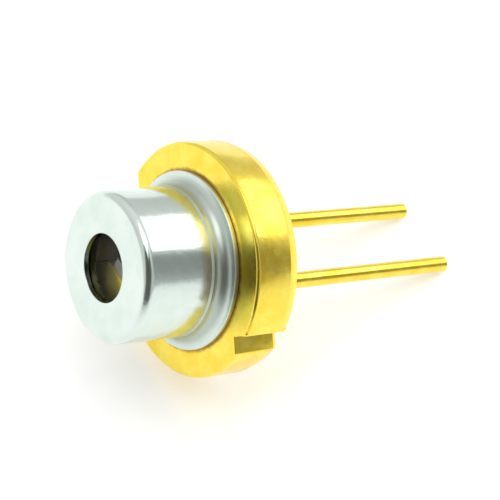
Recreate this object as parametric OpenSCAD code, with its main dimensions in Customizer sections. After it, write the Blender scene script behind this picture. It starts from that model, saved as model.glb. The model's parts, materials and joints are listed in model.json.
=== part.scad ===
// Laser diode in a small round metal can, two leads, lying on its stem rim and its lead ends.
// Millimetres. Device axes: z along the beam with 0 on the stem's front face, x along the line
// through both leads and both rim notches, y away from the heat sink post. The finished part is
// then turned into its rest pose: +Z up, window towards -Y, origin under the box's centre.

/* [Stem] */
// Diameter of the stem
stem_d = 5.6; // [5.4:0.05:6.2]
// Thickness of the stem
stem_t = 1.2; // [1:0.05:1.5]
// Rounding of the stem's front edge
stem_front_round = 0.08; // [0.04:0.01:0.14]
// Width across the rim of the chamfer on the stem's back edge
stem_back_bevel_r = 0.08; // [0.04:0.01:0.12]
// Length along the axis of the chamfer on the stem's back edge
stem_back_bevel_z = 0.25; // [0.1:0.01:0.35]
// Depth of each rim notch
notch_depth = 0.33; // [0.2:0.01:0.4]
// Angle between the walls of each rim notch
notch_angle = 90; // [70:5:100]
// Rounding of the lips of each rim notch
notch_lip_round = 0.1; // [0.05:0.01:0.14]

/* [Leads] */
// Distance between the two leads
lead_pitch = 2.0; // [1.85:0.01:2.2]
// Diameter of each lead
lead_d = 0.4; // [0.35:0.01:0.5]
// Length of each lead behind the stem
lead_len = 6.5; // [5:0.1:8]
// Height of each lead's inner end above the stem's front face
lead_inner_h = 1.4; // [1.2:0.01:1.5]
// Length of the bonding flat at each lead's inner end
lead_flat_len = 0.9; // [0.75:0.01:1]
// Depth of the bonding flat, from the lead's side
lead_flat_depth = 0.12; // [0.08:0.01:0.15]
// Thickness of the plating, by which the stretch sealed in glass tapers
lead_plating = 0.003; // [0.002:0.001:0.006]
// Diameter of each glass bead
bead_d = 0.96; // [0.8:0.01:1]
// Hollow of each bead's end faces
bead_hollow = 0.03; // [0.02:0.01:0.06]

/* [Cap] */
// Outer diameter of the cap
cap_d = 3.55; // [3.45:0.01:3.7]
// Height of the cap above the stem
cap_h = 2.3; // [2.25:0.01:2.7]
// Wall of the cap
cap_wall = 0.12; // [0.08:0.01:0.14]
// Outer rounding between the cap's wall and its top
cap_top_round = 0.2; // [0.16:0.01:0.3]
// Diameter of the welding flange
flange_d = 4.25; // [4.15:0.01:4.4]
// Thickness of the welding flange at its rim
flange_t = 0.12; // [0.08:0.01:0.16]
// Flat land between the flange's fillet and its rim
flange_land = 0.03; // [0.02:0.01:0.06]
// Rounding inside the cap's mouth
cap_mouth_round = 0.12; // [0.05:0.01:0.18]
// Diameter of the aperture in the cap's top
aperture_d = 1.6; // [1.4:0.01:1.8]

/* [Window] */
// Diameter of the window glass
window_d = 2.7; // [2.4:0.01:2.9]
// Thickness of the window glass
window_t = 0.25; // [0.2:0.01:0.3]
// Solder glass between the window and the cap's top
seal_layer_t = 0.03; // [0.02:0.01:0.05]
// Inner diameter of the solder glass ring
seal_inner_d = 2.1; // [1.95:0.01:2.25]
// Depth of the solder glass ring below the window
seal_lip_t = 0.2; // [0.1:0.01:0.24]
// Rounding of the solder glass ring's inner edge
seal_round = 0.08; // [0.04:0.01:0.09]

/* [Heat sink post] */
// Width of the post's flat front
post_front_w = 1.12; // [1:0.01:1.15]
// Radius of the post's rounded back
post_back_r = 1.42; // [1.3:0.01:1.48]
// Angle by which each side of the post opens towards its back
post_flare = 42; // [30:1:50]
// How far the post's end stands above the chip's facet
post_over = 0.03; // [0.02:0.01:0.05]
// Thickness of the braze under the post
braze_t = 0.02; // [0.01:0.01:0.04]
// How far the braze spreads around the post's foot
braze_spread = 0.03; // [0.01:0.01:0.04]

/* [Laser chip] */
// Height of the light-emitting facet above the stem's front face
facet_h = 1.57; // [1.4:0.01:1.6]
// Length of the laser chip
chip_l = 1.0; // [0.85:0.01:1.1]
// Width of the laser chip
chip_w = 0.2; // [0.15:0.01:0.3]
// Thickness of the laser chip
chip_t = 0.12; // [0.08:0.01:0.15]
// Solder under the laser chip
chip_solder_t = 0.01; // [0.01:0.01:0.02]
// Length of the submount behind the facet
submount_l = 1.15; // [1.1:0.01:1.3]
// Width of the submount
submount_w = 0.8; // [0.7:0.01:0.9]
// Thickness of the submount
submount_t = 0.28; // [0.24:0.01:0.32]
// Solder under the submount
submount_solder_t = 0.015; // [0.01:0.005:0.03]

/* [Bond wires] */
// Diameter of the bond wires
wire_d = 0.03; // [0.025:0.005:0.04]
// Distance between neighbouring wires
wire_pitch = 0.22; // [0.15:0.01:0.24]
// Distance from the lead's inner end to the first wire
wire_margin = 0.14; // [0.1:0.01:0.2]
// Height of each loop above the straight line between its bonds
wire_rise = 0.16; // [0.12:0.01:0.28]
// Diameter of the bond on the chip or submount
ball_d = 0.09; // [0.07:0.01:0.12]
// Thickness of the bonds
bond_t = 0.03; // [0.026:0.002:0.04]
// Length of the flattened bond on the lead
wedge_l = 0.1; // [0.08:0.01:0.14]
// Width of the flattened bond on the lead
wedge_w = 0.06; // [0.045:0.005:0.08]

/* [Hidden] */
$fn = 96;
// Overshoot of cutting tools past the faces that they cut
past = 0.1;

// Stem and notches
stem_r = stem_d / 2;
lead_r = lead_d / 2;
bead_r = bead_d / 2;
lead_core_r = lead_r - lead_plating;
lead_x = lead_pitch / 2;
notch_half = notch_angle / 2;
notch_apex = stem_r - notch_depth;
notch_wall = [cos(notch_half), sin(notch_half)];
notch_normal = [-sin(notch_half), cos(notch_half)];
// Centre of the lip arc, tangent to the notch wall and to the rim
lip_offset = [notch_apex, 0] + notch_lip_round * notch_normal;
lip_along = sqrt(
    pow(lip_offset * notch_wall, 2) + pow(stem_r - notch_lip_round, 2) - lip_offset * lip_offset
) - lip_offset * notch_wall;
lip_centre = lip_offset + lip_along * notch_wall;
lip_on_wall = lip_centre - notch_lip_round * notch_normal;
lip_on_rim = lip_centre * (stem_r + past) / norm(lip_centre);

// Cap, window and seal
cap_r = cap_d / 2;
cavity_r = cap_r - cap_wall;
cavity_h = cap_h - cap_wall;
cavity_round = cap_top_round - cap_wall;
flange_r = flange_d / 2;
flange_fillet = flange_r - cap_r - flange_land;
window_top = cavity_h - seal_layer_t;
window_bottom = window_top - window_t;
seal_bottom = window_bottom - seal_lip_t;

// Chip stack: the chip's top face, where the light leaves, lies on the axis
submount_top_y = -chip_t - chip_solder_t;
post_flat_y = submount_top_y - submount_t - submount_solder_t;
post_h = facet_h + post_over;

// Bond wires, drawn with a twelve-sided section
lead_flat_y = lead_r - lead_flat_depth;
wire_r = wire_d / 2;
wire_sides = 12;
first_wire_z = min(lead_inner_h, facet_h) - wire_margin;
submount_bond_x = (submount_w + chip_w) / 4;

// Rest pose: the stem's back rim and both lead ends touch the ground
tilt_on_edge = atan((stem_r - stem_back_bevel_r - lead_r) / lead_len);
tilt_on_rim = atan((stem_r - lead_r) / (lead_len + stem_back_bevel_z));
rest_tilt = max(tilt_on_edge, tilt_on_rim);
lead_end = stem_t + lead_len;
rest_lift = lead_r * cos(rest_tilt) + lead_end * sin(rest_tilt);
reach_back = lead_r * sin(rest_tilt) + lead_end * cos(rest_tilt);
reach_front = (cap_r - cap_top_round) * sin(rest_tilt)
    + (cap_h - cap_top_round) * cos(rest_tilt) + cap_top_round;

// Turns the device from its own axes into its rest pose
module lying() {
    translate([0, (reach_front - reach_back) / 2, rest_lift])
        rotate([90 - rest_tilt, 0, 0])
            children();
}

// Outline of one rim notch on the +x side, with rounded lips
module notch_outline() {
    difference() {
        polygon([
            [notch_apex, 0],
            lip_on_wall,
            lip_on_rim,
            [stem_r + notch_depth, 0],
            [lip_on_rim.x, -lip_on_rim.y],
            [lip_on_wall.x, -lip_on_wall.y]
        ]);
        for (side = [1, -1])
            translate([lip_centre.x, side * lip_centre.y])
                circle(r = notch_lip_round);
    }
}

// Section of the stem, radius across and height up
module stem_section() {
    difference() {
        polygon([
            [0, 0],
            [stem_r, 0],
            [stem_r, stem_back_bevel_z - stem_t],
            [stem_r - stem_back_bevel_r, -stem_t],
            [0, -stem_t]
        ]);
        translate([stem_r - stem_front_round, -stem_front_round])
            difference() {
                square(stem_front_round + past);
                circle(r = stem_front_round);
            }
    }
}

// Stamped and plated disc with two rim notches and two feedthrough holes
module stem() {
    color("gold") lying() difference() {
        rotate_extrude() stem_section();
        for (turn = [0, 180])
            rotate([0, 0, turn])
                translate([0, 0, -stem_t - past])
                    linear_extrude(stem_t + 2 * past)
                        notch_outline();
        for (side = [1, -1])
            translate([side * lead_x, 0, -stem_t - past])
                cylinder(r = bead_r, h = stem_t + 2 * past);
    }
}

// Outline of the post: flat front, opening sides and round back, grown by a margin
module post_outline(grow = 0) {
    side_run = post_back_r * 2;
    front_x = post_front_w / 2 + grow;
    front_y = post_flat_y + grow;
    intersection() {
        circle(r = post_back_r + grow);
        polygon([
            [-front_x, front_y],
            [front_x, front_y],
            [front_x + side_run * sin(post_flare), front_y - side_run * cos(post_flare)],
            [-front_x - side_run * sin(post_flare), front_y - side_run * cos(post_flare)]
        ]);
    }
}

// Copper block that carries the chip and takes its heat to the stem
module heat_sink_post() {
    color("goldenrod") lying()
        translate([0, 0, braze_t])
            linear_extrude(post_h - braze_t)
                post_outline();
}

// Braze between the post's foot and the stem
module post_braze() {
    color("khaki") lying()
        linear_extrude(braze_t)
            post_outline(braze_spread);
}

// Block on the post's flat: width, thickness and length, its top face at height y
module chip_block(w, t, l, y) {
    lying()
        translate([-w / 2, y - t, facet_h - l])
            cube([w, t, l]);
}

// Solder between the submount and the post
module submount_solder() {
    color("silver")
        chip_block(submount_w, submount_solder_t, submount_l, submount_top_y - submount_t);
}

// Ceramic plate between the chip and the post
module submount() {
    color("lightgray")
        chip_block(submount_w, submount_t, submount_l, submount_top_y);
}

// Solder between the chip and the submount
module chip_solder() {
    color("silver")
        chip_block(chip_w, chip_solder_t, chip_l, -chip_t);
}

// Laser chip, its facet towards the window
module laser_chip() {
    color("dimgray")
        chip_block(chip_w, chip_t, chip_l, 0);
}

// Round lead, plated outside its glass seal, with a flat at its inner end for the bond wires
module lead(side) {
    color("gold") lying() translate([side * lead_x, 0, 0]) {
        translate([0, 0, -lead_end])
            cylinder(r = lead_r, h = lead_len);
        translate([0, 0, -stem_t])
            cylinder(r1 = lead_core_r, r2 = lead_r, h = stem_t);
        difference() {
            cylinder(r = lead_r, h = lead_inner_h);
            translate([-lead_r - past, lead_flat_y, lead_inner_h - lead_flat_len])
                cube([lead_d + 2 * past, lead_flat_depth + past, lead_flat_len + past]);
        }
    }
}

// Circle that hollows the end of a bead, passing through the lead's edge and the hole's edge
module bead_hollow_outline(inner_r) {
    gap = bead_r - inner_r;
    hollow_r = (pow(gap / 2, 2) + pow(bead_hollow, 2)) / (2 * bead_hollow);
    translate([inner_r + gap / 2, hollow_r - bead_hollow])
        circle(r = hollow_r);
}

// Glass bead that seals and insulates a lead in its hole
module glass_bead(side) {
    color("darkslategray") lying() translate([side * lead_x, 0, 0]) rotate_extrude() difference() {
        polygon([
            [lead_core_r, -stem_t],
            [bead_r, -stem_t],
            [bead_r, 0],
            [lead_r, 0]
        ]);
        bead_hollow_outline(lead_r);
        translate([0, -stem_t])
            mirror([0, 1])
                bead_hollow_outline(lead_core_r);
    }
}

// Wire loop at height z between two bonds, each given as [x, y of the face it sits on]
module bond_wire(ball, wedge, z) {
    a = ball + [0, bond_t / 2];
    b = wedge + [0, bond_t / 2];
    chord = norm(b - a);
    loop_r = (pow(chord / 2, 2) + pow(wire_rise, 2)) / (2 * wire_rise);
    half_angle = atan2(chord / 2, loop_r - wire_rise);
    chord_angle = atan2(abs(b.y - a.y), abs(b.x - a.x)) * sign(b.y - a.y) * sign(b.x - a.x);
    mid = (a + b) / 2;
    down = [sin(chord_angle), -cos(chord_angle)] * (loop_r - wire_rise);
    translate([mid.x + down.x, mid.y + down.y, z])
        rotate([0, 0, 90 + chord_angle - half_angle])
            rotate_extrude(angle = 2 * half_angle)
                translate([loop_r, 0])
                    circle(r = wire_r, $fn = wire_sides);
    translate([ball.x, ball.y + bond_t, z])
        rotate([90, 0, 0])
            cylinder(d = ball_d, h = bond_t);
    translate([wedge.x - wedge_l / 2, wedge.y, z - wedge_w / 2])
        cube([wedge_l, bond_t, wedge_w]);
}

// Wire from the chip's top to the first lead
module chip_wire(i) {
    color("gold") lying()
        bond_wire([0, 0], [lead_x, lead_flat_y], first_wire_z - i * wire_pitch);
}

// Wire from the submount's top to the second lead
module submount_wire(i) {
    color("gold") lying()
        bond_wire([-submount_bond_x, submount_top_y], [-lead_x, lead_flat_y],
            first_wire_z - i * wire_pitch);
}

// Space inside the cap, radius across and height up
module cavity_section() {
    difference() {
        square([cavity_r, cavity_h]);
        translate([cavity_r - cavity_round, cavity_h - cavity_round])
            difference() {
                square(cavity_round + past);
                circle(r = cavity_round);
            }
    }
}

// Outer form of the cap without its aperture, radius across and height up
module cap_outline() {
    difference() {
        square([cap_r, cap_h]);
        translate([cap_r - cap_top_round, cap_h - cap_top_round])
            difference() {
                square(cap_top_round + past);
                circle(r = cap_top_round);
            }
    }
    square([flange_r, flange_t]);
    difference() {
        square([cap_r + flange_fillet, flange_t + flange_fillet]);
        translate([cap_r + flange_fillet, flange_t + flange_fillet])
            circle(r = flange_fillet);
    }
}

// Deep-drawn cap with its aperture and its welding flange
module cap_shell() {
    color("silver") lying() rotate_extrude() difference() {
        cap_outline();
        cavity_section();
        square([aperture_d / 2, cap_h + past]);
        translate([cavity_r, 0])
            difference() {
                square(cap_mouth_round);
                translate([cap_mouth_round, cap_mouth_round])
                    circle(r = cap_mouth_round);
            }
    }
}

// Flat window glass inside the cap's top
module window_glass() {
    color("lightcyan", 0.4) lying()
        translate([0, 0, window_bottom])
            cylinder(d = window_d, h = window_t);
}

// Ring of solder glass that holds the window in the cap
module window_seal() {
    color("darkslategray") lying() rotate_extrude() difference() {
        intersection() {
            cavity_section();
            translate([seal_inner_d / 2, seal_bottom])
                square([cavity_r, cavity_h - seal_bottom]);
        }
        translate([0, window_bottom])
            square([window_d / 2, window_t]);
        translate([seal_inner_d / 2, seal_bottom])
            difference() {
                square(2 * seal_round, center = true);
                translate([seal_round, seal_round])
                    circle(r = seal_round);
            }
    }
}

stem();
heat_sink_post();
post_braze();
submount_solder();
submount();
chip_solder();
laser_chip();
lead(1);  // lead_1
lead(-1);  // lead_2
glass_bead(1);  // glass_bead_1
glass_bead(-1);  // glass_bead_2
chip_wire(0);  // chip_wire_1
chip_wire(1);  // chip_wire_2
chip_wire(2);  // chip_wire_3
submount_wire(0);  // submount_wire_1
submount_wire(1);  // submount_wire_2
submount_wire(2);  // submount_wire_3
cap_shell();
window_glass();
window_seal();
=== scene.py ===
"""Laser diode in a small metal can: plated pieces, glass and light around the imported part.

Every piece is built in the device's own axes, in millimetres: z along the beam with 0 on the
stem's front face, x through both leads and both rim notches, y away from the heat sink post.
"""

import json
import math

import bmesh
import bpy
from mathutils import Matrix, Vector


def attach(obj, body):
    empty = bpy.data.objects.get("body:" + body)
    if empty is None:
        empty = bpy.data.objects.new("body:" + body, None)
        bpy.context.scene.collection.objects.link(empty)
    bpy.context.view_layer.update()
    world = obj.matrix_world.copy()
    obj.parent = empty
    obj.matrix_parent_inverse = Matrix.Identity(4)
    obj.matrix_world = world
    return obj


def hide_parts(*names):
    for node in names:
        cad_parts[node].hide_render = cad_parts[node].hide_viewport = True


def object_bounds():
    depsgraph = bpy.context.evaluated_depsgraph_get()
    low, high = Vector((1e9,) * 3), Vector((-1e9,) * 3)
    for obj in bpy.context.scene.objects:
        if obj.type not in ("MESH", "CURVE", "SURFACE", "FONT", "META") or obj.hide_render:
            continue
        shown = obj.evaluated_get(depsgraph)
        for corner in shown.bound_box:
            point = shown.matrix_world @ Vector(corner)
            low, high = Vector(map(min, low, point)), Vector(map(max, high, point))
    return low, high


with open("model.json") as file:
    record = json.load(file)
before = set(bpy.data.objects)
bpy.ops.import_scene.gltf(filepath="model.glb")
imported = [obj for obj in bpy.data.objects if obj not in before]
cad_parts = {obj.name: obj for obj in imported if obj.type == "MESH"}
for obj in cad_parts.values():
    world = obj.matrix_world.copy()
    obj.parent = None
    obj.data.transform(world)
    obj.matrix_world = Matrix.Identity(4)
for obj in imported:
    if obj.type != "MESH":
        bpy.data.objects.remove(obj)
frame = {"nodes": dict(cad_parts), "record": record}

CAD_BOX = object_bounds()
MM = 0.001
HOLD = 0.004  # how close to a rounded edge a flat face gets its extra line of points


# ---------------------------------------------------------------- the device's axes and sizes


def device_axes():
    """Matrix from the device's axes to the row frame, read from the part's mounts."""
    mounts = {m["name"]: m for m in frame["record"]["mounts"]}
    beam = Vector(mounts["stem_rim"]["axis"]).normalized()
    across = Vector(mounts["lead_1"]["pos_m"]) - Vector(mounts["lead_2"]["pos_m"])
    across.normalize()
    on_axis = Vector(mounts["stem_rim"]["pos_m"])
    seat = Vector(mounts["stem_front_seat"]["pos_m"])
    origin = on_axis + beam * (seat - on_axis).dot(beam)
    turn = Matrix((across, beam.cross(across), beam)).transposed()
    return Matrix.Translation(origin) @ turn.to_4x4()


DEVICE = device_axes()
INTO_DEVICE = DEVICE.inverted()


def cad_points(node):
    return [INTO_DEVICE @ v.co / MM for v in frame["nodes"][node].data.vertices]


def low_high(node, axis):
    """Lowest and highest coordinate of a node along one device axis."""
    values = [p[axis] for p in cad_points(node)]
    return min(values), max(values)


def radii(node, low=-99, high=99, centre=0):
    """Smallest and largest distance from the line x = centre, y = 0, between two heights."""
    found = [math.hypot(p.x - centre, p.y) for p in cad_points(node) if low <= p.z <= high]
    return min(found), max(found)


STEM_R = radii("stem")[1]
STEM_T = -low_high("stem", 2)[0]
STEM_BACK_BEVEL_R = STEM_R - radii("stem", high=-STEM_T + 0.01)[1]
STEM_BACK_BEVEL_Z = 0.25
STEM_FRONT_ROUND = 0.08
NOTCH_DEPTH = 0.33
NOTCH_HALF = math.radians(45)
NOTCH_LIP = 0.1
NOTCH_ROOT = 0.025
NOTCH_EDGE_SHARE = 0.35  # size of the edges inside a notch, as a share of the rim's

LEAD_X = low_high("lead_1", 0)[0] / 2 + low_high("lead_1", 0)[1] / 2
LEAD_R = low_high("lead_1", 0)[1] - LEAD_X
LEAD_BACK, LEAD_FRONT = low_high("lead_1", 2)
LEAD_FLAT_LOW = LEAD_FRONT - 0.9
LEAD_FLAT_Y = LEAD_R - 0.12
LEAD_BEVEL_BACK, LEAD_BEVEL_FRONT = 0.018, 0.03
LEAD_FLAT_RUN = 0.12  # length of the slope into the bonding flat
BEAD_R = radii("glass_bead_1", centre=LEAD_X)[1]
BEAD_SAG = 0.03
BEAD_HOLE_EDGE = 0.02

CAP_H = low_high("cap_shell", 2)[1]
CAP_R = radii("cap_shell", low=CAP_H / 2)[1]
FLANGE_R = radii("cap_shell")[1]
APERTURE_R = radii("cap_shell")[0]
CAP_WALL = 0.12
CAP_TOP_ROUND = 0.2
CAP_MOUTH_ROUND = 0.12
FLANGE_T = 0.12
FLANGE_LAND = 0.03
CAP_STEP = 0.02  # coined step where the wall runs out into the flange
CAP_STEP_LOW = 0.46
CAVITY_R = CAP_R - CAP_WALL
CAVITY_H = CAP_H - CAP_WALL

WINDOW_R = radii("window_glass")[1]
WINDOW_LOW, WINDOW_HIGH = low_high("window_glass", 2)
WINDOW_BEVEL = 0.02
SEAL_LOW = low_high("window_seal", 2)[0]
SEAL_R = radii("window_seal")[0]
SEAL_MENISCUS = 0.08

POST_LOW, POST_HIGH = low_high("heat_sink_post", 2)
POST_FLAT_Y = low_high("heat_sink_post", 1)[1]
POST_EDGE = 0.025
BRAZE_WIDER = 0.03
BRAZE_EDGE = 0.008

WIRE_R = 0.015
WIRE_RISE = 0.16  # height of a wire's loop over the straight line between its bonds
WIRE_STEPS = 28
BALL_R, BALL_T = 0.045, 0.033
BOND_T = 0.03
WEDGE_HALF = 0.05

# The camera stands as the photograph's did: angles in degrees, lengths in millimetres.
CAMERA_AIM = (1.638, 1.956, 0)
CAMERA_AZIMUTH, CAMERA_ELEVATION, CAMERA_ROLL = 56.15, 50.30, 6.81
CAMERA_DISTANCE = 38.154
CAMERA_LENS, CAMERA_SENSOR = 122.48, 36

# Brightness of the room's walls by azimuth, in degrees from +X towards +Y. The part mirrors
# them: the dark camera side, a dark gap, the softbox's surround and paler walls.
WALL_LEVELS = [
    (-180, 0.80),
    (-85, 0.75),
    (-68, 0.16),
    (-14, 0.14),
    (2, 0.60),
    (25, 0.62),
    (37, 0.50),
    (45, 0.33),
    (60, 0.30),
    (67, 0.60),
    (74, 1.0),
    (112, 1.0),
    (122, 0.75),
    (150, 0.60),
    (180, 0.80),
]
CAMERA_SIDE = (0.60, -0.43, 0.67)  # middle of the dark patch above the horizon
FLOOR_GLOW = 0.43
FLOOR_REACH = 400


# ---------------------------------------------------------------- outlines


def rounded(corners, step=math.radians(9)):
    """Closed outline through corners (a, b, radius), each rounded to its radius.

    Each straight that is long enough also gets a point close to either end, so that the
    shading of a rounded edge doesn't run across the flat beside it.
    """
    count = len(corners)
    arcs = []
    for i, (a, b, radius) in enumerate(corners):
        here = Vector((a, b))
        back = (Vector(corners[i - 1][:2]) - here).normalized()
        ahead = (Vector(corners[(i + 1) % count][:2]) - here).normalized()
        opening = math.acos(max(-1, min(1, back.dot(ahead))))
        if radius == 0:
            arcs.append([here])
            continue
        reach = radius / math.tan(opening / 2)
        centre = here + (back + ahead).normalized() * radius / math.sin(opening / 2)
        first = here + back * reach - centre
        turn = math.copysign(math.pi - opening, ahead.x * back.y - ahead.y * back.x)
        steps = max(2, round(abs(turn) / step))
        arc = []
        for k in range(steps + 1):
            angle = turn * k / steps
            cos, sin = math.cos(angle), math.sin(angle)
            turned = (first.x * cos - first.y * sin, first.x * sin + first.y * cos)
            arc.append(centre + Vector(turned))
        arcs.append(arc)
    points = []
    for i, arc in enumerate(arcs):
        points += arc
        start, end = arc[-1], arcs[(i + 1) % count][0]
        if (end - start).length > 4 * HOLD:
            along = (end - start).normalized() * HOLD
            points += [start + along, end - along]
    return points


def arc_points(centre, radius, start, end, steps):
    """Points on an arc between two angles in radians, and the angle of each."""
    angles = [start + (end - start) * k / steps for k in range(steps + 1)]
    return [(centre + radius * Vector((math.cos(a), math.sin(a))), a) for a in angles]


# ---------------------------------------------------------------- mesh builders


def to_metres(x, y, z):
    return Vector((x, y, z)) * MM


def ring_faces(bm, lower, upper):
    """Faces between two rings of equally many points, either of which may be one point."""
    if len(lower) == 1 and len(upper) == 1:
        return
    sides = max(len(lower), len(upper))
    for i in range(sides):
        j = (i + 1) % sides
        if len(lower) == 1:
            bm.faces.new((lower[0], upper[j], upper[i]))
        elif len(upper) == 1:
            bm.faces.new((lower[i], lower[j], upper[0]))
        else:
            bm.faces.new((lower[i], lower[j], upper[j], upper[i]))


def lathe(bm, outline, sides=160, centre_x=0.0, keep_open=False):
    """Turns a closed (radius, height) outline about a line along z."""
    rings = []
    for r, z in outline:
        if r < 1e-6:
            rings.append([bm.verts.new(to_metres(centre_x, 0, z))])
            continue
        ring = []
        for k in range(sides):
            angle = 2 * math.pi * k / sides
            x, y = centre_x + r * math.cos(angle), r * math.sin(angle)
            ring.append(bm.verts.new(to_metres(x, y, z)))
        rings.append(ring)
    pairs = len(rings) - 1 if keep_open else len(rings)
    for i in range(pairs):
        ring_faces(bm, rings[i], rings[(i + 1) % len(rings)])
    return rings


def prism(bm, outline, low, high, edge, steps=3):
    """Upright block on a closed outline, its edges rounded."""
    bottom = [bm.verts.new(to_metres(p.x, p.y, low)) for p in outline]
    top = [bm.verts.new(to_metres(p.x, p.y, high)) for p in outline]
    faces = [bm.faces.new(list(reversed(bottom))), bm.faces.new(top)]
    edges = list(faces[0].edges) + list(faces[1].edges)
    count = len(outline)
    for i in range(count):
        j = (i + 1) % count
        bm.faces.new((bottom[i], bottom[j], top[j], top[i]))
    bmesh.ops.bevel(
        bm, geom=edges, offset=edge * MM, segments=steps, affect="EDGES", profile=0.5
    )


def box_prism(bm, low, high, edge, steps=2):
    """Block between two corners, every edge rounded."""
    outline = [
        Vector((low[0], low[1])),
        Vector((high[0], low[1])),
        Vector((high[0], high[1])),
        Vector((low[0], high[1])),
    ]
    bottom = [bm.verts.new(to_metres(p.x, p.y, low[2])) for p in outline]
    top = [bm.verts.new(to_metres(p.x, p.y, high[2])) for p in outline]
    made = [bm.faces.new(list(reversed(bottom))), bm.faces.new(top)]
    for i in range(4):
        j = (i + 1) % 4
        made.append(bm.faces.new((bottom[i], bottom[j], top[j], top[i])))
    edges = list({e for f in made for e in f.edges})
    bmesh.ops.bevel(
        bm, geom=edges, offset=edge * MM, segments=steps, affect="EDGES", profile=0.5
    )


def tube(bm, path, radii_along, sides=12):
    """Round tube along points in a plane of constant z, closed at both ends."""
    up = Vector((0, 0, 1))
    rings = [[bm.verts.new(path[0] * MM)]]
    for i, point in enumerate(path):
        before = path[max(i - 1, 0)]
        after = path[min(i + 1, len(path) - 1)]
        side = (after - before).normalized().cross(up)
        ring = []
        for k in range(sides):
            angle = 2 * math.pi * k / sides
            offset = side * math.cos(angle) + up * math.sin(angle)
            ring.append(bm.verts.new((point + offset * radii_along[i]) * MM))
        rings.append(ring)
    rings.append([bm.verts.new(path[-1] * MM)])
    for lower, upper in zip(rings, rings[1:]):
        ring_faces(bm, lower, upper)


def piece(name, build, material, slot, *nodes, crease=32):
    """A mesh made by build(bmesh) in the device's axes, standing for the CAD nodes."""
    bm = bmesh.new()
    build(bm)
    bmesh.ops.recalc_face_normals(bm, faces=bm.faces)
    bmesh.ops.transform(bm, matrix=DEVICE, verts=bm.verts)
    mesh = bpy.data.meshes.new(name)
    bm.to_mesh(mesh)
    bm.free()
    mesh.materials.append(material)
    for polygon in mesh.polygons:
        polygon.use_smooth = True
    mesh.set_sharp_from_angle(angle=math.radians(crease))
    obj = bpy.data.objects.new(name, mesh)
    bpy.context.scene.collection.objects.link(obj)
    bpy.context.view_layer.update()
    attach(obj, "root")
    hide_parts(*nodes)
    return obj


# ---------------------------------------------------------------- materials


class Nodes:
    """Builds one node tree. A socket given another node's output is linked to it."""

    def __init__(self, tree):
        self.tree = tree
        tree.nodes.clear()

    def add(self, kind, sockets=None, **settings):
        made = self.tree.nodes.new(kind)
        for key, value in settings.items():
            setattr(made, key, value)
        for key, value in (sockets or {}).items():
            if isinstance(value, bpy.types.NodeSocket):
                self.tree.links.new(value, made.inputs[key])
            else:
                made.inputs[key].default_value = value
        return made

    def math(self, operation, a, b=0.0):
        return self.add("ShaderNodeMath", {0: a, 1: b}, operation=operation).outputs[0]

    def span(self, value, low, high, to_low, to_high):
        """value from low..high mapped to to_low..to_high, clamped."""
        sockets = {
            "Value": value,
            "From Min": low,
            "From Max": high,
            "To Min": to_low,
            "To Max": to_high,
        }
        return self.add("ShaderNodeMapRange", sockets, clamp=True).outputs["Result"]

    def blend(self, factor, a, b):
        """Colour a where factor is 0 and b where it is 1."""
        made = self.add("ShaderNodeMix", {"Factor": factor}, data_type="RGBA")
        for socket, value in ((made.inputs[6], a), (made.inputs[7], b)):
            if isinstance(value, bpy.types.NodeSocket):
                self.tree.links.new(value, socket)
            else:
                socket.default_value = (*value, 1)
        return made.outputs[2]

    def ray_is(self, *kinds):
        """1 for rays of one of these kinds, otherwise 0."""
        rays = self.add("ShaderNodeLightPath")
        found = rays.outputs[f"Is {kinds[0]} Ray"]
        for kind in kinds[1:]:
            found = self.math("MAXIMUM", found, rays.outputs[f"Is {kind} Ray"])
        return found


class Finish(Nodes):
    """One material, its patterns laid out on the piece in millimetres of the device's axes."""

    def __init__(self, name):
        self.material = bpy.data.materials.new(name)
        self.material.use_nodes = True
        super().__init__(self.material.node_tree)

    def place(self, stretch=None):
        """Coordinates in millimetres of the device's axes, stretched along each."""
        sockets = {
            "Vector": self.add("ShaderNodeTexCoord").outputs["Object"],
            "Location": INTO_DEVICE.to_translation() / MM,
            "Rotation": INTO_DEVICE.to_euler(),
            "Scale": (1 / MM, 1 / MM, 1 / MM),
        }
        where = self.add("ShaderNodeMapping", sockets).outputs[0]
        if stretch is None:
            return where
        return self.add(
            "ShaderNodeVectorMath", {0: where, 1: stretch}, operation="MULTIPLY"
        ).outputs[0]

    def noise(self, scale, detail=3.0, rough=0.55, stretch=None, twist=0.0):
        sockets = {
            "Vector": self.place(stretch),
            "Scale": scale,
            "Detail": detail,
            "Roughness": rough,
            "Distortion": twist,
        }
        return self.add("ShaderNodeTexNoise", sockets).outputs["Fac"]

    def bump(self, height, strength, distance, under=None):
        sockets = {"Height": height, "Strength": strength, "Distance": distance * MM}
        if under is not None:
            sockets["Normal"] = under
        return self.add("ShaderNodeBump", sockets).outputs["Normal"]

    def shader(self, **sockets):
        """Principled shader with these sockets."""
        named = {key.replace("_", " "): value for key, value in sockets.items()}
        return self.add("ShaderNodeBsdfPrincipled", named).outputs[0]

    def surface(self, **sockets):
        """Ends the material in a Principled shader with these sockets."""
        self.add("ShaderNodeOutputMaterial", {"Surface": self.shader(**sockets)})
        return self.material


def radius_and_height(finish):
    """Distance from the beam's axis and height above the seat, in millimetres."""
    where = finish.add("ShaderNodeSeparateXYZ", {0: finish.place()})
    x, y, z = where.outputs
    squares = finish.math("ADD", finish.math("MULTIPLY", x, x), finish.math("MULTIPLY", y, y))
    return finish.math("SQRT", squares), z


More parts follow.
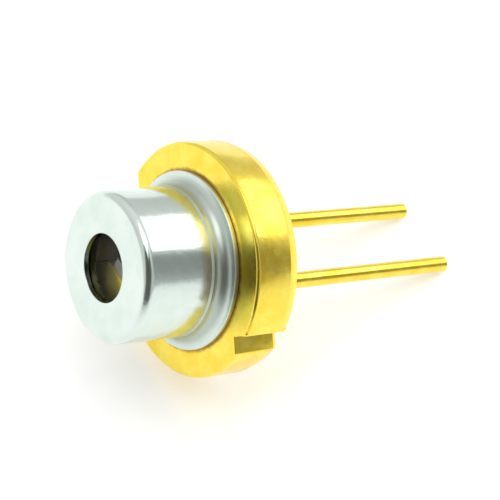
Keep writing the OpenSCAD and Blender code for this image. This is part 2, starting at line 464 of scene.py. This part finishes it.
def gold_plate(name, shine=(0.15, 0.27), joint_shade=False):
    """Gold plating over a stamped blank: fine grain, slow waves and faint stains; with
    joint_shade, a ring of painted shade round the cap's flange.
    """
    f = Finish(name)
    stain = f.noise(1.6, detail=4, twist=0.4)
    speck = f.noise(26, detail=2)
    colour = f.blend(f.span(stain, 0.35, 0.68, 0, 1), (1.0, 0.80, 0.13), (0.95, 0.68, 0.06))
    colour = f.blend(f.span(speck, 0.58, 0.75, 0, 0.3), colour, (0.66, 0.42, 0.03))
    if joint_shade:
        # Painted shade: a dark red-brown ring on the stem just outside the cap's flange, where
        # the two parts meet.
        radius, height = radius_and_height(f)
        ragged = f.math("ADD", radius, f.span(f.noise(7), 0.3, 0.7, -0.02, 0.02))
        shade_by_flange = f.span(ragged, FLANGE_R + 0.03, FLANGE_R + 0.1, 0.85, 0)
        painted_shade = f.math("MULTIPLY", shade_by_flange, f.math("GREATER_THAN", height, -0.1))
        colour = f.blend(painted_shade, colour, (0.34, 0.16, 0.03))
    rough = f.span(f.noise(5, detail=4), 0.3, 0.7, *shine)
    waves = f.bump(f.noise(2.4, detail=2), 0.22, 0.02)
    grain = f.bump(f.noise(22, detail=3), 0.12, 0.005, under=waves)
    return f.surface(Base_Color=colour, Metallic=1.0, Roughness=rough, Normal=grain)


def nickel_plate():
    """Bright nickel on a deep-drawn shell, rougher towards its flange, with painted shade
    darkening the wall towards the flange.
    """
    f = Finish("nickel_plate")
    stain = f.noise(1.9, detail=4, twist=0.3)
    colour = f.blend(f.span(stain, 0.35, 0.7, 0, 1), (0.74, 0.83, 0.77), (0.67, 0.77, 0.71))
    _, height = radius_and_height(f)
    ragged = f.math("ADD", height, f.span(f.noise(6), 0.3, 0.7, -0.05, 0.05))
    above_flange = f.span(height, FLANGE_T, FLANGE_T + 0.08, 0, 1)
    # Painted shade: the wall's colour darkens towards the flange, where it meets the stem.
    painted_foot_shade = f.math("MULTIPLY", f.span(ragged, 0.42, 0.85, 0.65, 0), above_flange)
    colour = f.blend(painted_foot_shade, colour, (0.38, 0.43, 0.37))
    shine = f.span(f.noise(11, detail=4), 0.3, 0.7, 0.13, 0.2)
    rough = f.math("MAXIMUM", shine, f.span(height, 0.45, 0.95, 0.34, 0.1))
    draw = f.bump(f.noise(16, detail=3, stretch=(1, 1, 0.12)), 0.15, 0.006)
    peel = f.bump(f.noise(3.0, detail=2), 0.2, 0.02, under=draw)
    return f.surface(Base_Color=colour, Metallic=1.0, Roughness=rough, Normal=peel)


def window_glass():
    """Clear glass whose coating leaves hardly any reflection, with a trace of dust."""
    f = Finish("window_glass")
    dust = f.noise(30, detail=2)
    colour = f.blend(f.span(dust, 0.66, 0.8, 0, 0.12), (0.97, 1.0, 0.98), (0.75, 0.78, 0.74))
    rough = f.span(dust, 0.6, 0.8, 0.0, 0.04)
    return f.surface(Base_Color=colour, Roughness=rough, IOR=1.12, Transmission_Weight=1.0)


def dark_glass(name, light, dark, rough_low, rough_high):
    """Glossy sealing glass with small bubbles and streaks."""
    f = Finish(name)
    streak = f.noise(4, detail=4, twist=1.2)
    colour = f.blend(f.span(streak, 0.35, 0.7, 0, 1), light, dark)
    rough = f.span(f.noise(14), 0.35, 0.65, rough_low, rough_high)
    bubbles = f.add("ShaderNodeTexVoronoi", {"Vector": f.place(), "Scale": 16.0})
    dimple = f.bump(f.span(bubbles.outputs["Distance"], 0.0, 0.25, 0, 1), 0.2, 0.004)
    return f.surface(Base_Color=colour, Roughness=rough, IOR=1.6, Normal=dimple)


def satin_metal(name, light, dark, rough_low, rough_high, grain_scale=24):
    """Cast or soldered metal: crystals that differ a little in colour and shine."""
    f = Finish(name)
    cells = f.add("ShaderNodeTexVoronoi", {"Vector": f.place(), "Scale": float(grain_scale)})
    cell = f.add("ShaderNodeSeparateColor", {0: cells.outputs["Color"]}).outputs[0]
    colour = f.blend(cell, light, dark)
    rough = f.span(cell, 0, 1, rough_low, rough_high)
    grain = f.bump(f.noise(grain_scale * 1.4), 0.25, 0.004)
    return f.surface(Base_Color=colour, Metallic=1.0, Roughness=rough, Normal=grain)


def ceramic():
    """Fine-grained aluminium nitride with a thin gold film on the side towards the chip."""
    f = Finish("ceramic")
    grains = f.noise(60, detail=4, rough=0.7)
    bare = f.blend(f.span(grains, 0.35, 0.65, 0, 1), (0.62, 0.61, 0.58), (0.44, 0.43, 0.41))
    where = f.add("ShaderNodeSeparateXYZ", {0: f.place()})
    film = f.math("GREATER_THAN", where.outputs[1], low_high("submount", 1)[1] - 0.004)
    colour = f.blend(film, bare, (0.95, 0.74, 0.22))
    bump = f.bump(grains, 0.35, 0.003)
    rough = f.span(film, 0, 1, 0.62, 0.4)
    return f.surface(Base_Color=colour, Metallic=film, Roughness=rough, Normal=bump)


def chip_surface():
    """Polished semiconductor with a gold contact on top and a ridge along its middle."""
    f = Finish("laser_chip")
    where = f.add("ShaderNodeSeparateXYZ", {0: f.place()})
    x, y, _ = where.outputs
    on_top = f.math("GREATER_THAN", y, -0.004)
    off_ridge = f.math("GREATER_THAN", f.math("ABSOLUTE", x), 0.012)
    contact = f.math("MULTIPLY", on_top, off_ridge)
    bare = f.blend(f.span(f.noise(20), 0.4, 0.6, 0, 1), (0.20, 0.19, 0.22), (0.13, 0.12, 0.15))
    colour = f.blend(contact, bare, (0.93, 0.72, 0.2))
    rough = f.span(f.noise(40), 0.35, 0.65, 0.1, 0.22)
    return f.surface(Base_Color=colour, Metallic=0.85, Roughness=rough)


# ---------------------------------------------------------------- the stem


def notch_quarter():
    """A quarter of the stem's rim, from the root of the +x notch to +y.

    Gives (point, outward angle, softness of the edge there: 1 on the rim, less in the notch).
    """
    apex = STEM_R - NOTCH_DEPTH
    wall = Vector((math.cos(NOTCH_HALF), math.sin(NOTCH_HALF)))
    across_wall = Vector((-wall.y, wall.x))
    lip_offset = Vector((apex, 0)) + NOTCH_LIP * across_wall
    along = lip_offset.dot(wall)
    run = math.sqrt(along**2 + (STEM_R - NOTCH_LIP) ** 2 - lip_offset.length_squared) - along
    lip = lip_offset + run * wall
    lip_angle = math.atan2(lip.y, lip.x)
    wall_angle = NOTCH_HALF - math.pi / 2
    root = Vector((apex + NOTCH_ROOT / math.sin(NOTCH_HALF), 0))
    inside = NOTCH_EDGE_SHARE
    quarter = []
    for p, angle in arc_points(root, -NOTCH_ROOT, 0, wall_angle, 4):
        quarter.append((p, angle, inside))
    for p, angle in arc_points(lip, NOTCH_LIP, wall_angle, lip_angle, 8):
        share = (angle - wall_angle) / (lip_angle - wall_angle)
        quarter.append((p, angle, inside + (1 - inside) * share))
    for p, angle in arc_points(Vector((0, 0)), STEM_R, lip_angle, math.pi / 2, 44)[1:]:
        quarter.append((p, angle, 1.0))
    return quarter


def stem_rim():
    """The whole rim, counter-clockwise: quarters mirrored in turn."""
    first = notch_quarter()
    second = [(Vector((-p.x, p.y)), math.pi - a, s) for p, a, s in reversed(first[:-1])]
    upper = first + second[:-1]
    lower = [(-p, a + math.pi, s) for p, a, s in upper]
    return upper + lower


def bead_hole(bm, centre_x):
    """Wall of one feedthrough hole with broken edges; gives its front and back rings."""
    edge = BEAD_HOLE_EDGE
    front, back = Vector((BEAD_R + edge, -edge)), Vector((BEAD_R + edge, edge - STEM_T))
    arcs = arc_points(front, edge, math.pi / 2, math.pi, 4)
    arcs += arc_points(back, edge, math.pi, math.pi * 1.5, 4)
    mouth = BEAD_R + edge + HOLD
    outline = [(mouth, 0.0)] + [(p.x, p.y) for p, _ in arcs] + [(mouth, -STEM_T)]
    rings = lathe(bm, outline, sides=64, centre_x=centre_x, keep_open=True)
    return rings[0], rings[-1]


def build_stem(bm):
    """Stamped disc: rounded front edge, chamfered back edge, rounded notches, two holes."""
    rim = stem_rim()
    rings = []

    def add_ring(inset, z_of):
        ring = []
        for p, angle, softness in rim:
            inward = Vector((math.cos(angle), math.sin(angle))) * inset * softness
            ring.append(bm.verts.new(to_metres(p.x - inward.x, p.y - inward.y, z_of(softness))))
        rings.append(ring)

    r = STEM_FRONT_ROUND
    add_ring(r + HOLD, lambda s: 0.0)
    for k in range(8):
        turn = math.pi / 2 * k / 7
        add_ring(r * (1 - math.sin(turn)), lambda s, t=turn: -r * (1 - math.cos(t)) * s)
    add_ring(0, lambda s: -r * s - HOLD)
    low_edge = STEM_T - STEM_BACK_BEVEL_Z
    add_ring(0, lambda s: STEM_BACK_BEVEL_Z * s - STEM_T + HOLD)
    add_ring(STEM_BACK_BEVEL_R * 0.04, lambda s: STEM_BACK_BEVEL_Z * 0.94 * s - STEM_T)
    add_ring(STEM_BACK_BEVEL_R * 0.94, lambda s: STEM_BACK_BEVEL_Z * 0.05 * s - STEM_T)
    add_ring(STEM_BACK_BEVEL_R * 1.05, lambda s: -STEM_T)
    add_ring(STEM_BACK_BEVEL_R * 1.05 + HOLD, lambda s: -STEM_T)
    for upper, lower in zip(rings, rings[1:]):
        ring_faces(bm, lower, upper)
    holes = [bead_hole(bm, side * LEAD_X) for side in (1, -1)]
    for outer, side in ((rings[0], 0), (rings[-1], 1)):
        loops = [outer] + [hole[side] for hole in holes]
        edges = []
        for loop in loops:
            for i, vert in enumerate(loop):
                edge = bm.edges.get((vert, loop[(i + 1) % len(loop)]))
                edges.append(edge or bm.edges.new((vert, loop[(i + 1) % len(loop)])))
        bmesh.ops.triangle_fill(bm, use_beauty=True, use_dissolve=False, edges=edges)


# ---------------------------------------------------------------- leads and beads


def build_lead(side):
    """Round lead with a straight-cut end and a coined bonding flat."""

    def build(bm):
        x = side * LEAD_X
        outline = rounded(
            [
                (0, LEAD_BACK, 0),
                (LEAD_R, LEAD_BACK, LEAD_BEVEL_BACK),
                (LEAD_R, LEAD_FLAT_LOW - 0.05, 0),
                (LEAD_R, LEAD_FRONT, LEAD_BEVEL_FRONT),
                (0, LEAD_FRONT, 0),
            ]
        )
        lathe(bm, outline, sides=64, centre_x=x)
        for vert in bm.verts:
            height = (vert.co.z / MM - LEAD_FLAT_LOW) / LEAD_FLAT_RUN
            flat = LEAD_R - (LEAD_R - LEAD_FLAT_Y) * max(0.0, min(1.0, height))
            if vert.co.y / MM > flat:
                vert.co.y = flat * MM

    return build


def build_bead(side):
    """Glass bead with a meniscus at each end."""

    def build(bm):
        gap = BEAD_R - LEAD_R
        outline = []
        for end, way in ((0.0, 1), (-STEM_T, -1)):
            arc = []
            for k in range(11):
                t = k / 10
                arc.append((BEAD_R - gap * t, end - way * BEAD_SAG * 4 * t * (1 - t)))
            outline += arc if way == 1 else list(reversed(arc))
        lathe(bm, outline, sides=64, centre_x=side * LEAD_X)

    return build


# ---------------------------------------------------------------- the cap and its window


def build_cap(bm):
    """Drawn shell: rounded top edge, filleted flange, broken aperture edges."""
    fillet = FLANGE_R - CAP_R - FLANGE_LAND
    outline = rounded(
        [
            (APERTURE_R, CAP_H, 0.014),
            (APERTURE_R, CAVITY_H, 0.01),
            (CAVITY_R, CAVITY_H, CAP_TOP_ROUND - CAP_WALL),
            (CAVITY_R, 0, CAP_MOUTH_ROUND),
            (FLANGE_R, 0, 0.02),
            (FLANGE_R, FLANGE_T, 0.025),
            (CAP_R + CAP_STEP, FLANGE_T, fillet - CAP_STEP),
            (CAP_R + CAP_STEP, CAP_STEP_LOW, 0.01),
            (CAP_R, CAP_STEP_LOW + 3 * CAP_STEP, 0.01),
            (CAP_R, CAP_H, CAP_TOP_ROUND),
        ],
        step=math.radians(7.5),
    )
    lathe(bm, outline, sides=224)


def build_window(bm):
    """Ground and polished pane with a small bevel round both faces."""
    outline = rounded(
        [
            (0, WINDOW_HIGH, 0),
            (WINDOW_R, WINDOW_HIGH, WINDOW_BEVEL),
            (WINDOW_R, WINDOW_LOW, WINDOW_BEVEL),
            (0, WINDOW_LOW, 0),
        ]
    )
    lathe(bm, outline, sides=128)


def build_seal(bm):
    """Ring of solder glass between window and cap, its inner edge drawn into a meniscus."""
    corner = CAP_TOP_ROUND - CAP_WALL
    outline = rounded(
        [
            (SEAL_R, CAVITY_H, 0.008),
            (SEAL_R, WINDOW_HIGH, 0.006),
            (WINDOW_R, WINDOW_HIGH, 0),
            (WINDOW_R, WINDOW_LOW, 0),
            (SEAL_R, WINDOW_LOW, 0.006),
            (SEAL_R, SEAL_LOW, SEAL_MENISCUS),
            (CAVITY_R, SEAL_LOW, 0),
            (CAVITY_R, CAVITY_H, corner),
        ]
    )
    lathe(bm, outline, sides=160)


# ---------------------------------------------------------------- post, submount, chip and wires


def post_corners(grow):
    """Corners of the post's section: flat front and sides that open towards the round back."""
    points = [p for p in cad_points("heat_sink_post") if p.z > POST_HIGH - 0.01]
    half_front = max(p.x for p in points if p.y > POST_FLAT_Y - 0.001) + grow
    back_r = max(math.hypot(p.x, p.y) for p in points) + grow
    widest = max(points, key=lambda p: p.x)
    corners = [Vector((half_front, POST_FLAT_Y + grow))]
    start = math.atan2(widest.y, widest.x)
    for p, _ in arc_points(Vector((0, 0)), back_r, start, -math.pi - start, 40):
        corners.append(p)
    corners.append(Vector((-half_front, POST_FLAT_Y + grow)))
    return list(reversed(corners))


def build_post(bm):
    prism(bm, post_corners(0), POST_LOW, POST_HIGH, POST_EDGE)


def build_braze(bm):
    low, high = low_high("post_braze", 2)
    prism(bm, post_corners(BRAZE_WIDER), low, high, BRAZE_EDGE, steps=2)


def build_block(node, edge):
    """Block in the CAD node's own box, every edge broken."""

    def build(bm):
        spans = [low_high(node, axis) for axis in range(3)]
        box_prism(bm, [s[0] for s in spans], [s[1] for s in spans], edge)

    return build


def build_wire(node, ball_at_low_x):
    """Bond wire: flattened ball, rising loop and a wedge bond on the lead's flat."""

    def build(bm):
        points = cad_points(node)
        low_x, high_x = low_high(node, 0)
        z = (low_high(node, 2)[0] + low_high(node, 2)[1]) / 2
        way = 1 if ball_at_low_x else -1
        ball_x = low_x + BALL_R if ball_at_low_x else high_x - BALL_R
        wedge_x = high_x - WEDGE_HALF if ball_at_low_x else low_x + WEDGE_HALF
        ball_y = min(p.y for p in points if abs(p.x - ball_x) < BALL_R)
        wedge_y = min(p.y for p in points if abs(p.x - wedge_x) < WEDGE_HALF)
        start = Vector((ball_x, ball_y + BOND_T / 2, z))
        end = Vector((wedge_x, wedge_y + WIRE_R, z))
        chord = end - start
        middle = (start + end) / 2
        square = Vector((-chord.y, chord.x, 0)).normalized()
        if square.y < 0:
            square = -square
        half = chord.length / 2
        loop_r = (half**2 + WIRE_RISE**2) / (2 * WIRE_RISE)
        centre = middle - square * (loop_r - WIRE_RISE)
        spread = math.asin(half / loop_r)
        path = []
        for k in range(WIRE_STEPS + 1):
            angle = spread * (2 * k / WIRE_STEPS - 1)
            path.append(
                centre
                + square * loop_r * math.cos(angle)
                + chord.normalized() * loop_r * math.sin(angle)
            )
        widths = [WIRE_R] * len(path)
        tail = end + Vector((way * WEDGE_HALF * 0.9, 0, 0))
        path += [end + Vector((way * WEDGE_HALF * 0.3, 0, 0)), tail]
        widths += [WIRE_R * 0.95, WIRE_R * 0.8]
        tube(bm, path, widths)
        squash = Matrix.Diagonal((1, BALL_T / (2 * BALL_R), 1, 1))
        place = Matrix.Translation(Vector((ball_x, ball_y + BOND_T / 2, z)) * MM) @ squash
        bmesh.ops.create_uvsphere(
            bm, u_segments=20, v_segments=12, radius=BALL_R * MM, matrix=place
        )

    return build


# ---------------------------------------------------------------- camera, lights and floor


def make_camera():
    """Camera above and beside the window end, looking at the stem's front face."""
    aim = DEVICE @ to_metres(*CAMERA_AIM)
    azimuth, elevation = math.radians(CAMERA_AZIMUTH), math.radians(CAMERA_ELEVATION)
    roll = math.radians(CAMERA_ROLL)
    back = Vector(
        (
            math.sin(azimuth) * math.cos(elevation),
            -math.cos(azimuth) * math.cos(elevation),
            math.sin(elevation),
        )
    )
    data = bpy.data.cameras.new("camera")
    data.lens = CAMERA_LENS
    data.sensor_width = CAMERA_SENSOR
    data.clip_start = 0.001
    camera = bpy.data.objects.new("camera", data)
    level = back.to_track_quat("Z", "Y").to_matrix().to_4x4()
    camera.matrix_world = (
        Matrix.Translation(aim + back * CAMERA_DISTANCE * MM)
        @ level
        @ Matrix.Rotation(roll, 4, "Z")
    )
    bpy.context.scene.collection.objects.link(camera)
    bpy.context.scene.camera = camera


def soft_panel(name, azimuth, elevation, distance, width, height, radiance):
    """Rectangular lamp facing the part; the angles are degrees from +X towards +Y, and up."""
    az, el = math.radians(azimuth), math.radians(elevation)
    way = Vector((math.cos(az) * math.cos(el), math.sin(az) * math.cos(el), math.sin(el)))
    middle = (CAD_BOX[0] + CAD_BOX[1]) / 2
    data = bpy.data.lights.new(name, "AREA")
    data.shape = "RECTANGLE"
    data.size = width * MM
    data.size_y = height * MM
    data.energy = radiance * math.pi * width * height * MM * MM
    lamp = bpy.data.objects.new(name, data)
    lamp.matrix_world = Matrix.Translation(middle + way * distance * MM) @ way.to_track_quat(
        "Z", "Y"
    ).to_matrix().to_4x4()
    lamp.visible_camera = False
    bpy.context.scene.collection.objects.link(lamp)


def make_world():
    """White behind the part; around it a pale room, dark beside the softbox and by the camera."""
    world = bpy.data.worlds.new("studio")
    bpy.context.scene.world = world
    world.use_nodes = True
    n = Nodes(world.node_tree)
    way = n.add("ShaderNodeTexCoord").outputs["Generated"]
    x, y, z = n.add("ShaderNodeSeparateXYZ", {0: way}).outputs
    around = n.span(n.math("ARCTAN2", y, x), -math.pi, math.pi, 0, 1)
    walls = n.add("ShaderNodeValToRGB", {0: around})
    stops = walls.color_ramp.elements
    while len(stops) < len(WALL_LEVELS):
        stops.new(0.5)
    for stop, (azimuth, level) in zip(stops, WALL_LEVELS):
        stop.position = (azimuth + 180) / 360
        stop.color = (level, level, level, 1)
    overhead = n.span(z, 0.55, 0.8, 0, 1)
    room_colour = n.blend(overhead, walls.outputs[0], (0.9, 0.9, 0.9))
    towards = n.add("ShaderNodeVectorMath", {0: way, 1: CAMERA_SIDE}, operation="DOT_PRODUCT")
    camera_side = n.span(towards.outputs["Value"], 0.74, 0.9, 0, 1)
    room_colour = n.blend(camera_side, room_colour, (0.12, 0.115, 0.10))
    room = n.add("ShaderNodeBackground", {"Color": room_colour})
    white = n.add("ShaderNodeBackground", {"Color": (1, 1, 1, 1)})
    sockets = {0: n.ray_is("Camera"), 1: room.outputs[0], 2: white.outputs[0]}
    mix = n.add("ShaderNodeMixShader", sockets)
    n.add("ShaderNodeOutputWorld", {"Surface": mix.outputs[0]})


def make_floor():
    """Plain white floor that keeps the part's soft shadow and looks white around it."""
    f = Finish("white_floor")
    colour = f.blend(f.noise(0.5, detail=2), (0.8, 0.8, 0.8), (0.82, 0.82, 0.82))
    paper = f.shader(Base_Color=colour, Roughness=0.12, IOR=1.6)
    glow = f.add("ShaderNodeEmission", {"Color": (1, 1, 1, 1), "Strength": FLOOR_GLOW})
    seen = f.ray_is("Camera", "Glossy", "Transmission")
    seen_glow = f.add("ShaderNodeMixShader", {0: seen, 2: glow.outputs[0]})
    both = f.add("ShaderNodeAddShader", {0: paper, 1: seen_glow.outputs[0]})
    f.add("ShaderNodeOutputMaterial", {"Surface": both.outputs[0]})
    reach = FLOOR_REACH * MM
    corners = [(-reach, -reach, 0), (reach, -reach, 0), (reach, reach, 0), (-reach, reach, 0)]
    mesh = bpy.data.meshes.new("floor")
    mesh.from_pydata(corners, [], [(0, 1, 2, 3)])
    mesh.materials.append(f.material)
    floor = bpy.data.objects.new("floor", mesh)
    bpy.context.scene.collection.objects.link(floor)


# ---------------------------------------------------------------- the scene


def dress_part():
    gold = gold_plate("gold_plate")
    solder = satin_metal("solder", (0.85, 0.80, 0.66), (0.70, 0.66, 0.55), 0.28, 0.45)
    braze = satin_metal("braze", (0.88, 0.78, 0.50), (0.74, 0.62, 0.38), 0.3, 0.45)
    bead = dark_glass("bead_glass", (0.06, 0.11, 0.09), (0.02, 0.04, 0.035), 0.06, 0.2)
    seal = dark_glass("solder_glass", (0.03, 0.07, 0.05), (0.008, 0.016, 0.012), 0.05, 0.16)

    # The stem's gold carries a ring of painted shade round the cap's flange.
    stem_gold = gold_plate("stem_gold", joint_shade=True)
    piece("stem_disc", build_stem, stem_gold, "gold_plate", "stem")
    piece("drawn_cap", build_cap, nickel_plate(), "nickel_cap", "cap_shell")
    piece("window_pane", build_window, window_glass(), "window", "window_glass")
    piece("solder_glass_ring", build_seal, seal, "solder_glass", "window_seal")
    for number, side in ((1, 1), (2, -1)):
        lead_node, bead_node = f"lead_{number}", f"glass_bead_{number}"
        piece(f"round_{lead_node}", build_lead(side), gold, "gold_plate", lead_node)
        piece(f"sealing_bead_{number}", build_bead(side), bead, "bead_glass", bead_node)
    post_gold = gold_plate("post_gold", shine=(0.42, 0.56))
    piece("post_block", build_post, post_gold, "gold_plate", "heat_sink_post")
    piece("braze_foot", build_braze, braze, "braze", "post_braze")
    blocks = [
        ("submount_plate", "submount", ceramic(), "ceramic", 0.012),
        ("submount_solder_layer", "submount_solder", solder, "solder", 0.004),
        ("chip_solder_layer", "chip_solder", solder, "solder", 0.003),
        ("chip_die", "laser_chip", chip_surface(), "chip", 0.004),
    ]
    for name, node, material, slot, edge in blocks:
        piece(name, build_block(node, edge), material, slot, node)
    for number in (1, 2, 3):
        for kind, ball_at_low_x in (("chip_wire", True), ("submount_wire", False)):
            node = f"{kind}_{number}"
            piece(f"{node}_loop", build_wire(node, ball_at_low_x), gold, "gold_plate", node)


make_camera()
make_world()
make_floor()
soft_panel("key_panel", azimuth=93, elevation=33, distance=90, width=76, height=36, radiance=1.45)
soft_panel("top_panel", azimuth=-60, elevation=80, distance=90, width=60, height=60, radiance=1.5)
dress_part()

view = bpy.context.scene.view_settings
view.view_transform = "Standard"
